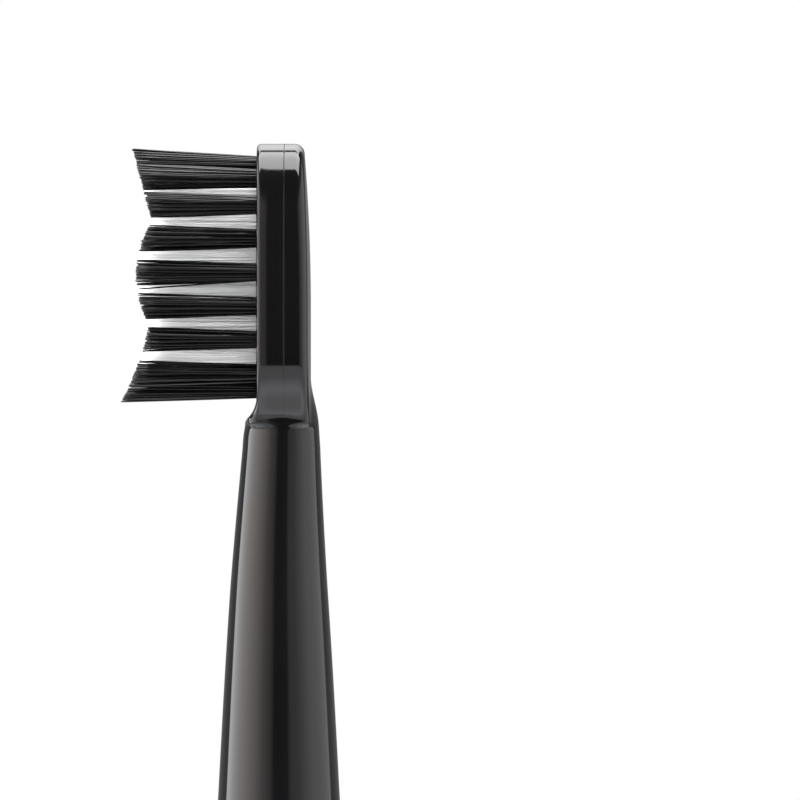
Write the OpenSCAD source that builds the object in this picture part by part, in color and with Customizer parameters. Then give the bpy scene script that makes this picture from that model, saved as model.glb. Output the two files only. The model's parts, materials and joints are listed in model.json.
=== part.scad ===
// Sonic electric toothbrush standing on its inductive charger.
// The origin is on the table under the middle of the charger. +Z is up, and the bristles,
// the button and the indicator window face -Y. All sizes are in millimetres.

/* [Charger] */
// Diameter of the charger's body
charger_d = 60; // [58:1:70]
// Height of the charger's top face above the table
charger_h = 17; // [16:0.5:20]
// Depth of the dished seat that the handle stands in
seat_depth = 2; // [1.5:0.25:2.5]
// Height of the charging post above the seat
post_h = 11; // [9:0.5:11.5]
// Diameter of the charging post
post_d = 7.8; // [7.4:0.1:8]
// Wall thickness of the charger's shell
charger_wall = 2; // [1.8:0.1:2.2]

/* [Handle] */
// Diameter of the handle's straight part
handle_d = 27; // [27:0.5:29]
// Length of the handle from its foot to its nose
handle_len = 176; // [172:1:182]
// Diameter of the handle's nose, under the brush head
nose_d = 13.4; // [13:0.2:14]
// Wall thickness of the handle's housing
handle_wall = 1.8; // [1.6:0.1:1.8]
// Height of the button's centre above the handle's foot
button_up = 109; // [106:1:112]
// Diameter of the power button
button_d = 10.5; // [9:0.5:10.5]
// How far the power button moves when it is pressed
button_travel = 0.3; // [0.2:0.05:0.3]

/* [Drive] */
// Diameter of the drive shaft
shaft_d = 4; // [3.6:0.1:4.2]
// Diameter of the motor
motor_d = 14.4; // [14:0.1:14.4]
// Diameter of the battery cell
cell_d = 14; // [13:0.5:14]
// Length of the battery cell
cell_len = 50; // [45:1:50]

/* [Brush head] */
// Length of the whole brush head
head_len = 75; // [73:1:78]
// Largest width of the oval end
head_w = 12.8; // [12:0.1:13.2]
// Length of the oval end down to the neck
oval_len = 24.4; // [24:0.1:25.5]
// Distance from the shaft's axis to the flat bristle face
face_out = 1.95; // [1.85:0.05:2.2]
// Largest distance from the shaft's axis to the oval end's back
back_out = 2.8; // [2.6:0.05:2.9]
// Radius of the neck just under the oval end
neck_top_r = 3.5; // [3.4:0.05:3.6]
// Growth of the neck's radius per millimetre down the head
neck_slope = 0.0632; // [0.06:0.0005:0.066]
// Gap between the brush head and the handle
head_gap = 0.8; // [0.5:0.1:1.2]

/* [Bristles] */
// Diameter of each tuft's hole
tuft_hole_d = 1.7; // [1.5:0.05:1.7]
// Depth of each tuft's hole
tuft_hole_depth = 2.05; // [1.8:0.05:2.05]
// Diameter of a tuft at its cut tips
tuft_tip_d = 2.1; // [1.8:0.05:2.2]
// Shortest standing length of the bristles
trim_low = 9.5; // [9:0.1:10]
// Height of the wave that the bristles are cut to
trim_wave = 1.15; // [0.5:0.05:1.4]
// Extra length of the bristles at both ends of the oval
trim_lift = 0.5; // [0:0.05:0.8]

/* [Hidden] */
$fn = 64;
eps = 0.02;        // gap left between pieces that touch
play = 0.05;       // running clearance of sliding pieces

// --- tufts, measured in from the axis and down from the head's top
outer_rows = [[2.5, 3.2], [3.65, 5.55], [3.95, 8.5], [4.1, 11.5], [4.1, 14.5], [4.1, 17.45],
              [3.5, 20.4], [1.45, 21.8]];
inner_rows = [for (i = [0:4]) [1.4, 7 + 3 * i]];
outer_tip_s = 1.9;
inner_tip_s = 4.4;

// --- heights
foot_z = 1;                                 // underside of the charger's plate
plate_t = 2.4;
seat_z = charger_h - seat_depth;
handle_z0 = seat_z + 0.1;
handle_z1 = handle_z0 + handle_len;
cap_rim_h = 3;                              // part of the bottom cap that shows
housing_z0 = handle_z0 + cap_rim_h;
head_z0 = handle_z1 + head_gap;
head_z1 = head_z0 + head_len;
button_z = handle_z0 + button_up;
shaft_in_head = 16.5;
shaft_z1 = head_z0 + shaft_in_head;

// --- charger
charger_r = charger_d / 2;
charger_edge = 5;                           // radius of the top edge
seat_r = handle_d / 2 + 0.5;
skirt_r = charger_r - charger_wall;
boss_r = 3;
boss_at = 21.5;                             // screw bosses' distance from the axis
foot_pad_r = 4.5;
foot_pad_at = 22;
board_z = 4.2;
board_t = 1;
board_r = 25;
usb_w = 8.94;
usb_h = 3.26;
usb_depth = 7.35;
usb_z = board_z + board_t + usb_h / 2 + eps;
usb_mouth_y = charger_r - 0.8;
pipe_z = 8;
pipe_r = 1;
ferrite_r = 2.6;
coil_z0 = 5.8;
coil_z1 = seat_z - charger_wall - 0.3;
flange_t = 0.8;

// --- handle
body_r = handle_d / 2;
inner_r = body_r - handle_wall;
nose_r = nose_d / 2;
taper_z0 = button_z + 11;
well_r = post_d / 2 + 0.4;                  // well in the bottom cap that takes the post
well_wall = 1.2;
well_z1 = seat_z + post_h + 1.4;
cap_z1 = housing_z0 + 6.4;
seal_z = housing_z0 + 3.2;
seal_r = 0.62;
chassis_r = 11;
chassis_z0 = handle_z0 + 15;
front_y = -7.35;                            // chassis face that the board lies on
board_y0 = front_y - 1.05;                  // front of the board
board_half_w = 6;
cell_y = 3;
cell_z0 = chassis_z0 + 4;
cell_z1 = cell_z0 + cell_len;
motor_z0 = cell_z0 + cell_len + 7;
motor_len = 50;
motor_z1 = motor_z0 + motor_len;
motor_r = motor_d / 2;
can_wall = 0.6;
bearing_r = 4;
bearing_len = 3;
chassis_z1 = motor_z1 + 3;
shaft_r = shaft_d / 2;
shaft_flat = shaft_r - 0.5;                 // distance from the axis to the drive flat
hub_wall = 0.9;
magnet_r = shaft_r + 1.95;
stack_z0 = motor_z0 + 9;
stack_len = 32;
lens_z = handle_z0 + 71;
lens_len = 24;
lens_w = 2.4;
led_pitch = 6;

// --- brush head
widest_s = 14.6;                            // where the oval end is widest
part_y = 0.5;                               // parting plane of plate and back
plate_end_s = oval_len - 0.3;
neck_top_s = 26.8;
socket_len = 21;
ring_h = 2.2;                               // base ring
neck_wall = 1.2;

// ---------------------------------------------------------------- helpers

function smooth(t) = t * t * (3 - 2 * t);

// The larger of a and b, with a fillet of about k where they meet
function soft_max(a, b, k) =
    let (h = max(k - abs(a - b), 0) / k) max(a, b) + h * h * k / 4;

// Handle radius at height z: straight, then a curve that leaves the nose at the neck's slope
function handle_r(z) =
    let (l = handle_z1 - taper_z0, t = max(0, z - taper_z0) / l)
    body_r * (1 - smooth(t)) + nose_r * smooth(t) - neck_slope * l * (t * t * t - t * t);

// Neck radius at a distance s down from the head's top
function neck_r(s) = neck_top_r + neck_slope * (s - neck_top_s);

// Half width of the oval end's lower part, filleted into the neck
function lower_half_w(s) =
    let (u = min(1, (s - widest_s) / (oval_len - widest_s)))
    soft_max(head_w / 2 * pow(1 - pow(u, 3), 1 / 3), neck_r(s), 0.8);

// Distance from the axis to the oval end's back
function back_y(s) = back_out - 0.75 * pow(1 - min(1, s / widest_s), 2);

// Standing length of the bristles at a distance s down from the head's top
function trim(s) =
    let (u = (s - oval_len / 2) / (oval_len / 2))
    trim_low + trim_wave * pow(cos(180 * u), 2) + trim_lift * u * u;

// Points of a quarter superellipse with half axes a and b, from its end on b to its end on a
function super_arc(a, b, power, steps) =
    [for (i = [0:steps]) let (t = 90 * i / steps)
        [a * pow(sin(t), 2 / power), b * pow(cos(t), 2 / power)]];

module tube(r_out, r_in, z0, z1) {
    difference() {
        translate([0, 0, z0]) cylinder(r = r_out, h = z1 - z0);
        translate([0, 0, z0 - 1]) cylinder(r = r_in, h = z1 - z0 + 2);
    }
}

// Cylinder along Y, from y0 to y1
module along_y(r, y0, y1, x = 0, z = 0) {
    translate([x, y1, z]) rotate([90, 0, 0]) cylinder(r = r, h = y1 - y0);
}

module box(x0, x1, y0, y1, z0, z1) {
    translate([x0, y0, z0]) cube([x1 - x0, y1 - y0, z1 - z0]);
}

// Flat outline with two round ends, w wide in X and h high in Y
module stadium(w, h) {
    r = min(w, h) / 2;
    across = [w / 2 - r, h / 2 - r];
    square([w - (w > h ? 2 * r : 0), h - (h > w ? 2 * r : 0)], center = true);
    for (side = [-1, 1]) translate(side * across) circle(r = r);
}

// Pie slice of a tube, from angle a0 to a1
module sector(r_out, r_in, z0, z1, a0, a1) {
    translate([0, 0, z0])
        rotate([0, 0, a0])
            rotate_extrude(angle = a1 - a0)
                translate([r_in, 0]) square([r_out - r_in, z1 - z0]);
}

module bosses(r, z0, z1) {
    for (a = [45:90:315])
        rotate([0, 0, a]) translate([boss_at, 0, z0]) cylinder(r = r, h = z1 - z0);
}

// ---------------------------------------------------------------- charger

// Puck with a rounded top edge and a dished seat
module puck_profile() {
    steps = 8;
    polygon(concat(
        [[0, foot_z], [charger_r - 0.6, foot_z], [charger_r, foot_z + 0.6]],
        [for (i = [0:steps]) let (a = 90 * i / steps)
            [charger_r - charger_edge + charger_edge * cos(a),
             charger_h - charger_edge + charger_edge * sin(a)]],
        [[seat_r + 0.6, charger_h], [seat_r, charger_h - 0.6], [seat_r, seat_z], [0, seat_z]]));
}

module charger_shell() {
    color("black") difference() {
        union() {
            difference() {
                rotate_extrude() puck_profile();
                difference() {
                    cylinder(r = skirt_r, h = charger_h - charger_wall - 1.5);
                    translate([0, 0, seat_z - charger_wall])
                        cylinder(r = seat_r + charger_wall, h = 20);
                }
            }
            bosses(boss_r, foot_z + plate_t + eps, charger_h - charger_wall - 1);
            charging_post();
        }
        translate([0, 0, -1]) cylinder(r = ferrite_r + 0.3, h = seat_z + post_h - charger_wall + 1.8);
        bosses(1, 0, foot_z + plate_t + 6);
        translate([0, charger_r + 1, usb_z])
            rotate([90, 0, 0]) linear_extrude(6) stadium(usb_w + 0.5, usb_h + 0.5);
        along_y(pipe_r + 0.05, -charger_r - 1, -skirt_r + 1, 0, pipe_z);
    }
}

// Post with a rounded tip that the handle's well goes over
module charging_post() {
    tip = 1.2;
    translate([0, 0, seat_z - 0.5]) cylinder(r = post_d / 2, h = post_h + 0.5 - tip);
    translate([0, 0, seat_z + post_h - tip]) cylinder(r1 = post_d / 2, r2 = post_d / 2 - tip, h = tip);
}

module charger_base_plate() {
    color("black") difference() {
        translate([0, 0, foot_z]) cylinder(r = skirt_r - 0.1, h = plate_t);
        bosses(1.4, 0, 10);
        bosses(2.5, 0, foot_z + 1.4);
        for (a = [0:90:270])
            rotate([0, 0, a]) translate([foot_pad_at, 0, 0])
                cylinder(r = foot_pad_r + 0.05, h = foot_z + 1);
    }
}

module rubber_feet() {
    color("dimgray")
        for (a = [0:90:270])
            rotate([0, 0, a]) translate([foot_pad_at, 0, 0]) {
                cylinder(r1 = foot_pad_r - 0.4, r2 = foot_pad_r, h = 0.4);
                translate([0, 0, 0.4]) cylinder(r = foot_pad_r, h = foot_z + 0.6 - eps);
            }
}

module base_screws() {
    color("silver")
        for (a = [45:90:315])
            rotate([0, 0, a]) translate([boss_at, 0, foot_z + 0.2]) difference() {
                union() {
                    cylinder(r = 2.3, h = 1.2 - eps);
                    cylinder(r = 0.95, h = 7);
                }
                for (slot = [0, 90])
                    rotate([0, 0, slot]) translate([-1.3, -0.25, -1]) cube([2.6, 0.5, 1.6]);
            }
}

module charger_board() {
    color("darkgreen") difference() {
        tube(board_r, 9.8, board_z, board_z + board_t);
        bosses(boss_r + 0.4, 0, 20);
    }
    color("black") {
        box(-16, -12, 6, 10, board_z + board_t, board_z + board_t + 1);
        box(12, 15, 6, 9, board_z + board_t, board_z + board_t + 1.2);
        box(-1.2, 1.2, -24.6, -23, board_z + board_t, board_z + board_t + 1.7);
    }
}

// Receptacle shell with its tongue, mouth towards +Y
module usb_inlet() {
    color("silver") translate([0, usb_mouth_y, usb_z]) rotate([90, 0, 0]) {
        difference() {
            linear_extrude(usb_depth) stadium(usb_w, usb_h);
            translate([0, 0, -1]) linear_extrude(usb_depth) stadium(usb_w - 0.6, usb_h - 0.6);
        }
        translate([0, 0, 1]) linear_extrude(usb_depth - 1.5) square([6.7, 0.7], center = true);
    }
}

module charger_light_pipe() {
    color("white") along_y(pipe_r, -charger_r + 0.1, -22.8, 0, pipe_z);
}

module charger_bobbin() {
    color("ivory") {
        tube(ferrite_r + 0.9, ferrite_r + 0.1, coil_z0, coil_z1);
        tube(9, ferrite_r + 0.5, coil_z0, coil_z0 + flange_t);
        tube(9, ferrite_r + 0.5, coil_z1 - flange_t, coil_z1);
    }
}

module charger_coil() {
    color("peru") tube(8.6, ferrite_r + 0.9 + eps, coil_z0 + flange_t + eps, coil_z1 - flange_t - eps);
}

module post_ferrite() {
    color("dimgray") translate([0, 0, coil_z0 - 0.4])
        cylinder(r = ferrite_r, h = seat_z + post_h - charger_wall - coil_z0);
}

// ---------------------------------------------------------------- handle

// Handle outline from height z0 to z1, moved in by inset
function handle_line(z0, z1, inset) =
    [for (i = [0:24]) let (z = z0 + (z1 - z0) * i / 24) [handle_r(z) - inset, z]];

module handle_housing() {
    top_in = handle_z1 - 3.5;
    color("black") difference() {
        rotate_extrude() polygon(concat(
            [[body_r, housing_z0]],
            handle_line(taper_z0, handle_z1 - 0.4, 0),
            [[nose_r - 0.4, handle_z1], [3.6, handle_z1], [3.6, top_in]],
            handle_line(top_in, taper_z0, handle_wall),
            [[inner_r, housing_z0]]));
        along_y(button_d / 2 + 0.25, -20, -5, 0, button_z);
        translate([0, -5, lens_z]) rotate([90, 0, 0])
            linear_extrude(20) stadium(lens_w + 0.1, lens_len + 0.1);
    }
}

// Closes the handle, and has the well for the charging post
module bottom_cap() {
    edge = 1.6;
    steps = 5;
    color("black") difference() {
        rotate_extrude() polygon(concat(
            [[0, handle_z0]],
            [for (i = [0:steps]) let (a = -90 + 90 * i / steps)
                [body_r - edge + edge * cos(a), handle_z0 + edge + edge * sin(a)]],
            [[body_r, housing_z0 - eps], [inner_r - 0.1, housing_z0 - eps],
             [inner_r - 0.1, seal_z - 0.7], [inner_r - 1.3, seal_z - 0.7],
             [inner_r - 1.3, seal_z + 0.7], [inner_r - 0.1, seal_z + 0.7],
             [inner_r - 0.1, cap_z1], [inner_r - 1.9, cap_z1], [inner_r - 1.9, handle_z0 + 2.4],
             [well_r + well_wall, handle_z0 + 2.4], [well_r + well_wall, well_z1 + well_wall],
             [0, well_z1 + well_wall]]));
        translate([0, 0, handle_z0 - 1]) cylinder(r = well_r, h = well_z1 - handle_z0 + 1);
    }
}

module cap_seal_ring() {
    color("dimgray") translate([0, 0, seal_z])
        rotate_extrude() translate([inner_r - 0.65, 0]) circle(r = seal_r);
}

module receiver_bobbin() {
    r0 = well_r + well_wall + 0.1;
    z0 = handle_z0 + 2.5;
    color("ivory") {
        tube(r0 + 0.7, r0, z0, well_z1);
        tube(9.3, r0 + 0.3, z0, z0 + flange_t);
        tube(9.3, r0 + 0.3, well_z1 - flange_t, well_z1);
    }
}

module receiver_coil() {
    r0 = well_r + well_wall + 0.1;
    z0 = handle_z0 + 2.5;
    color("peru") tube(9, r0 + 0.7 + eps, z0 + flange_t + eps, well_z1 - flange_t - eps);
}

// Frame with three bulkheads; the cell and the motor go in from the front
module chassis() {
    color("whitesmoke") difference() {
        translate([0, 0, chassis_z0]) cylinder(r = chassis_r, h = chassis_z1 - chassis_z0);
        box(-20, 20, -20, front_y, 0, 300);
        translate([0, cell_y, cell_z0 - 0.8]) cylinder(r = cell_d / 2 + 0.2, h = cell_len + 2.6);
        box(-7.2, 7.2, -20, cell_y, cell_z0 - 0.8, cell_z1 + 1.8);
        translate([0, 0, motor_z0 - 0.4]) cylinder(r = motor_r + 0.15, h = motor_len + 0.8);
        box(-7.35, 7.35, -20, 0, motor_z0 - 0.4, motor_z1 + 0.4);
        translate([0, 0, motor_z1]) cylinder(r = shaft_r + 1, h = 10);
        box(-20, 20, 9, 20, cell_z1 + 3, motor_z0 - 1);
        for (z = [motor_z0 + 6, motor_z0 + 22, motor_z0 + 38])
            box(-20, 20, -3, 3.5, z, z + 9);
    }
}

module battery_cell() {
    color("steelblue") translate([0, cell_y, cell_z0]) {
        cylinder(r = cell_d / 2, h = cell_len);
        translate([0, 0, cell_len]) cylinder(r = 2.75, h = 1);
    }
}

module battery_tabs() {
    color("silver") {
        box(-2, 2, board_y0 + 1.02, cell_y + 2, cell_z1 + 1 + eps, cell_z1 + 1.2);
        box(-2, 2, board_y0 + 1.02, cell_y + 2, cell_z0 - 0.22, cell_z0 - eps);
    }
}

module battery_pad() {
    color("dimgray") translate([0, cell_y, cell_z0 - 0.8 + eps])
        cylinder(r = cell_d / 2 - 0.5, h = 0.8 - 0.26);
}

module main_board() {
    color("darkgreen")
        box(-board_half_w, board_half_w, board_y0, board_y0 + 1, chassis_z0 + 1, button_z + 11);
}

module board_components() {
    color("black") {
        box(-2.5, 2.5, board_y0 - 0.9, board_y0 - eps, button_z - 15, button_z - 10);
        box(-4.5, -1.5, board_y0 - 0.8, board_y0 - eps, chassis_z0 + 28, chassis_z0 + 31);
        box(1, 4.5, board_y0 - 1.1, board_y0 - eps, chassis_z0 + 20, chassis_z0 + 24);
        for (i = [0:3])
            box(-4.6, -3.4, board_y0 - 0.5, board_y0 - eps,
                chassis_z0 + 6 + 3 * i, chassis_z0 + 6.7 + 3 * i);
        for (side = [-1, 1])
            box(side * 4 - 0.6, side * 4 + 0.6, board_y0 - 0.5, board_y0 - eps,
                button_z - 8, button_z - 7.3);
    }
}

module tact_switch() {
    color("silver") difference() {
        box(-2.3, 2.3, board_y0 - 1.2, board_y0 - eps, button_z - 2.3, button_z + 2.3);
        along_y(1.1, board_y0 - 2, board_y0 - 0.8 + button_travel, 0, button_z);
    }
}

module tact_plunger() {
    color("black") along_y(1, board_y0 - 1.6, board_y0 - 0.9, 0, button_z);
}

module indicator_leds() {
    color("white")
        for (i = [-1.5:1:1.5])
            translate([0, 0, lens_z + i * led_pitch])
                box(-0.8, 0.8, board_y0 - 0.8, board_y0 - eps, -0.5, 0.5);
}

// Part of the handle's wall, from radius r_in to r_out, inside the window's outline
module window_piece(r_out, r_in, grow) {
    intersection() {
        tube(r_out, r_in, lens_z - lens_len, lens_z + lens_len);
        translate([0, -5, lens_z])
            rotate([90, 0, 0]) linear_extrude(20) stadium(lens_w + grow, lens_len + grow);
    }
}

// Bar that fills the window flush with the housing, with a flange inside
module indicator_lens() {
    color("lightgray") {
        window_piece(body_r - eps, 10.6, 0);
        window_piece(inner_r - 0.1, 10.6, 2);
    }
}

// Cap that follows the housing's curve, with a flange inside that keeps it in
module power_button() {
    proud = button_travel + 0.05;
    color("silver") {
        intersection() {
            tube(body_r + proud, 10.75, button_z - 10, button_z + 10);
            along_y(button_d / 2, -20, -5, 0, button_z);
        }
        intersection() {
            tube(inner_r - 0.15, 10.75, button_z - 10, button_z + 10);
            along_y(6, -20, -5, 0, button_z);
        }
    }
}

// Silicone pad behind the button, with the nib that meets the switch
module button_pad() {
    color("dimgray") {
        intersection() {
            tube(10.75 - eps, 10.35, button_z - 10, button_z + 10);
            along_y(3.6, -20, -5, 0, button_z);
        }
        along_y(1.4, -10.5, board_y0 - 1.6 - play, 0, button_z);
    }
}

module nose_seal() {
    color("dimgray") {
        tube(3.6 - eps, shaft_r + 0.08, handle_z1 - 4.5, handle_z1 + 0.2);
        tube(4.6, shaft_r + 0.3, handle_z1 - 5.2, handle_z1 - 3.5 - eps);
    }
}

// ---------------------------------------------------------------- motor

module motor_can() {
    color("silver") tube(motor_r, motor_r - can_wall, motor_z0 + 2 + eps, motor_z1 - 2 - eps);
}

module motor_front_cap() {
    color("ivory") difference() {
        union() {
            translate([0, 0, motor_z1 - 2]) cylinder(r = motor_r, h = 2);
            translate([0, 0, motor_z1 - 4]) cylinder(r = bearing_r + 1.2, h = 3);
        }
        translate([0, 0, motor_z1 - 5]) cylinder(r = bearing_r + eps, h = 10);
    }
}

module motor_rear_cap() {
    color("ivory") difference() {
        union() {
            translate([0, 0, motor_z0]) cylinder(r = motor_r, h = 2);
            translate([0, 0, motor_z0 + 1]) cylinder(r = bearing_r + 1.2, h = 3);
        }
        translate([0, 0, motor_z0 + 1]) cylinder(r = bearing_r + eps, h = 10);
    }
}

module front_bearing() {
    color("goldenrod") tube(bearing_r, shaft_r + 0.03, motor_z1 - bearing_len - 0.5, motor_z1 - 0.5);
}

module rear_bearing() {
    color("goldenrod")
        tube(bearing_r, shaft_r + 0.03, motor_z0 + 1 + eps, motor_z0 + 1 + eps + bearing_len);
}

module poles(grow) {
    for (a = [-35, 145])
        sector(motor_r - can_wall - eps + grow, magnet_r + 0.25 - grow,
               stack_z0 - grow, stack_z0 + stack_len + grow, a - grow * 8, a + 70 + grow * 8);
}

module stator_core() {
    color("gray") poles(0);
}

// One winding round each pole
module stator_coils() {
    color("peru") difference() {
        tube(motor_r - can_wall - 0.2, magnet_r + 0.5, stack_z0 - 3.5, stack_z0 + stack_len + 3.5);
        poles(0.1);
        box(-0.3, 0.3, -10, 10, 0, 300);
    }
}

module drive_shaft() {
    flat_z0 = shaft_z1 - 13;
    color("silver") difference() {
        union() {
            translate([0, 0, motor_z0 + 1.3]) cylinder(r = shaft_r, h = shaft_z1 - motor_z0 - 1.8);
            translate([0, 0, shaft_z1 - 0.5]) cylinder(r1 = shaft_r, r2 = shaft_r - 0.5, h = 0.5);
        }
        box(-5, 5, shaft_flat, 5, flat_z0, shaft_z1 + 1);
    }
}

module rotor_hub() {
    color("gray") tube(shaft_r + hub_wall, shaft_r + eps, stack_z0, stack_z0 + stack_len);
}

module rotor_magnets() {
    color("dimgray")
        for (a = [0:90:270])
            sector(magnet_r, shaft_r + hub_wall + eps,
                   stack_z0 + 0.5, stack_z0 + stack_len - 0.5, a + 2, a + 88);
}

// ---------------------------------------------------------------- brush head

// Front outline of the oval end, as [x, z] points, down to a distance end_s from its top
module oval_outline(end_s) {
    upper = [for (p = super_arc(head_w / 2, widest_s, 2.5, 14)) [p[0], head_z1 - widest_s + p[1]]];
    steps = 12;
    lower = [for (i = [1:steps]) let (s = widest_s + (end_s - widest_s) * i / steps)
        [lower_half_w(s), head_z1 - s]];
    half = concat(upper, lower);
    n = len(half);
    polygon(concat(half, [for (i = [n - 1:-1:1]) [-half[i][0], half[i][1]]]));
}

// Oval end between the planes y0 and y1
module oval_slab(y0, y1, end_s) {
    translate([0, y1, 0]) rotate([90, 0, 0]) linear_extrude(y1 - y0) oval_outline(end_s);
}

// Region in front of the oval end's curved back
module back_profile() {
    steps = 10;
    translate([-10, 0, 0]) rotate([90, 0, 90]) linear_extrude(20)
        polygon(concat(
            [[-10, head_z1 + 1], [-10, head_z1 - 30], [back_y(30), head_z1 - 30]],
            [for (i = [steps:-1:0]) let (s = widest_s * i / steps) [back_y(s), head_z1 - s]],
            [[back_y(0), head_z1 + 1]]));
}

// Neck with a rounded shoulder under the bristle plate
module neck() {
    steps = 6;
    shoulder = 2.4;
    shoulder_s = oval_len + 1.6;
    r = neck_r(shoulder_s);
    rotate_extrude() polygon(concat(
        [[0, head_z0 + ring_h], [neck_r(head_len - ring_h), head_z0 + ring_h]],
        [for (i = [0:steps]) let (a = 90 * i / steps)
            [r - shoulder + shoulder * cos(a), head_z1 - shoulder_s + shoulder * sin(a)]],
        [[0, head_z1 - shoulder_s + shoulder]]));
}

module head_body() {
    color("black") difference() {
        union() {
            intersection() {
                oval_slab(part_y, back_out, oval_len + 1);
                back_profile();
            }
            neck();
        }
        box(-10, 10, -10, part_y, head_z1 - plate_end_s, head_z1 + 1);
        socket_taper(0);
        translate([0, 0, head_z0]) cylinder(r = shaft_r + 0.6, h = socket_len + 4);
    }
}

module socket_taper(gap) {
    s1 = head_len - ring_h - socket_len;
    translate([0, 0, head_z0 + ring_h - (gap > 0 ? 0 : 0.01)])
        cylinder(r1 = neck_r(head_len - ring_h) - neck_wall - gap,
                 r2 = neck_r(s1) - neck_wall - gap, h = socket_len);
}

module bristle_plate() {
    color("black") difference() {
        oval_slab(-face_out, part_y - eps, plate_end_s - eps);
        tuft_places() along_y(tuft_hole_d / 2, -1, tuft_hole_depth);
    }
}

module head_base_ring() {
    color("silver") difference() {
        translate([0, 0, head_z0])
            cylinder(r1 = nose_r, r2 = neck_r(head_len - ring_h), h = ring_h - eps);
        translate([0, 0, head_z0 - 1]) cylinder(r = 4.6, h = 10);
    }
}

// Insert that takes the drive shaft and its flat
module shaft_socket() {
    color("whitesmoke") difference() {
        union() {
            socket_taper(play);
            translate([0, 0, head_z0 + 0.3]) cylinder(r = 4.6 - eps, h = 3);
        }
        intersection() {
            translate([0, 0, head_z0 - 1]) cylinder(r = shaft_r + play, h = shaft_in_head + 1.6);
            union() {
                box(-5, 5, -5, shaft_flat + play, 0, 300);
                box(-5, 5, -5, 5, head_z0 - 2, shaft_z1 - 12.5);
            }
        }
        box(-1.3, 1.3, shaft_flat, shaft_flat + 1, head_z0 + 4, head_z0 + 16);
    }
}

// Leaf behind the drive flat, with two bent ends
module grip_spring() {
    y0 = shaft_flat + play + 0.03;
    color("silver") {
        box(-1.2, 1.2, y0 + 0.3, y0 + 0.55, head_z0 + 4.2, head_z0 + 15.8);
        for (z = [6.5, 12.5])
            box(-1.2, 1.2, y0, y0 + 0.4, head_z0 + z, head_z0 + z + 1.2);
    }
}

// Runs its children at each tuft, with the face at y = 0
module tuft_places() {
    tuft_at(0, outer_tip_s) children();
    tuft_at(0, inner_tip_s) children();
    for (p = concat(outer_rows, inner_rows), side = [-1, 1]) tuft_at(side * p[0], p[1]) children();
}

module tuft_at(x, s) {
    translate([x, -face_out, head_z1 - s]) children();
}

module tuft_anchors() {
    color("goldenrod") tuft_places()
        box(-0.84, 0.84, tuft_hole_depth - 1, tuft_hole_depth - eps, -0.13, 0.13);
}

// One tuft, folded over its anchor and cut to the wave
module tuft(s) {
    reach = 0.6;
    slope = atan((trim(s + reach) - trim(s - reach)) / (2 * reach));
    long = trim(s) + 1.5;
    tip_r = tuft_tip_d / 2;
    foot_r = tuft_hole_d / 2 - eps;
    color("black") difference() {
        union() {
            along_y(foot_r, -0.01, tuft_hole_depth - 0.04);
            rotate([90, 0, 0])
                cylinder(r1 = foot_r, r2 = foot_r + (tip_r - foot_r) * long / trim(s), h = long);
        }
        translate([0, -trim(s), 0]) rotate([-slope, 0, 0]) box(-3, 3, -5, 0, -4, 4);
        box(-2, 2, tuft_hole_depth - 1 - eps, 5, -0.15, 0.15);
    }
}

module tuft_pair(p) {
    for (side = [-1, 1]) tuft_at(side * p[0], p[1]) tuft(p[1]);
}

// ---------------------------------------------------------------- nodes

charger_shell();
charger_base_plate();
rubber_feet();
base_screws();
charger_board();
usb_inlet();
charger_light_pipe();
charger_bobbin();
charger_coil();
post_ferrite();
handle_housing();
bottom_cap();
cap_seal_ring();
receiver_bobbin();
receiver_coil();
chassis();
battery_cell();
battery_tabs();
battery_pad();
main_board();
board_components();
tact_switch();
indicator_leds();
indicator_lens();
nose_seal();
motor_can();
motor_front_cap();
motor_rear_cap();
front_bearing();
rear_bearing();
stator_core();
stator_coils();
drive_shaft();
rotor_hub();
rotor_magnets();
power_button();
button_pad();
tact_plunger();
head_body();
bristle_plate();
head_base_ring();
shaft_socket();
grip_spring();
tuft_anchors();
tuft_at(0, outer_tip_s) tuft(outer_tip_s);  // outer_tuft_tip
tuft_at(0, inner_tip_s) tuft(inner_tip_s);  // inner_tuft_tip
for (i = [1:len(outer_rows)])
    tuft_pair(outer_rows[i - 1]);
for (i = [1:len(inner_rows)])
    tuft_pair(inner_rows[i - 1]);
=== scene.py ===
"""Visual model of a sonic toothbrush on its charger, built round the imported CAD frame.

Shapes are worked out in millimetres from the boxes of the CAD nodes and become metres when
their meshes are made. +Z is up, and the bristles, the button and the window face -Y.
s is a distance in millimetres down from the top of the brush head.
"""
import json
import math

import bmesh
import bpy
import numpy as np
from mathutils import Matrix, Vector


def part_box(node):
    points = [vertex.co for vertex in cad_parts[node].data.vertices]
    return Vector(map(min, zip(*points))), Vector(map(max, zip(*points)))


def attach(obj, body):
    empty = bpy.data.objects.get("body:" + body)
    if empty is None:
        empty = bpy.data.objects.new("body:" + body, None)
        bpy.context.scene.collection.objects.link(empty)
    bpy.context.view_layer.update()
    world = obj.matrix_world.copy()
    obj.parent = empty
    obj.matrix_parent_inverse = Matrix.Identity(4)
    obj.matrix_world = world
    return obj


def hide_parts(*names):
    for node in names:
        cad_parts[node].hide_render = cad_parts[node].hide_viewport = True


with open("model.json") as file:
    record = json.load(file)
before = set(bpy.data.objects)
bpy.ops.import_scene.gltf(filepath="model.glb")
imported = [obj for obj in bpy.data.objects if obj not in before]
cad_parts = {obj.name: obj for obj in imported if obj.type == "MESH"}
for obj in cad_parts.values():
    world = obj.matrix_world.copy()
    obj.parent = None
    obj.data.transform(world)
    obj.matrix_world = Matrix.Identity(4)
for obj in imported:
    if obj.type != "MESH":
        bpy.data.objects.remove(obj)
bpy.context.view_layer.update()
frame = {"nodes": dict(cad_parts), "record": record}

MM = 0.001
rng = np.random.default_rng(11)


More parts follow.
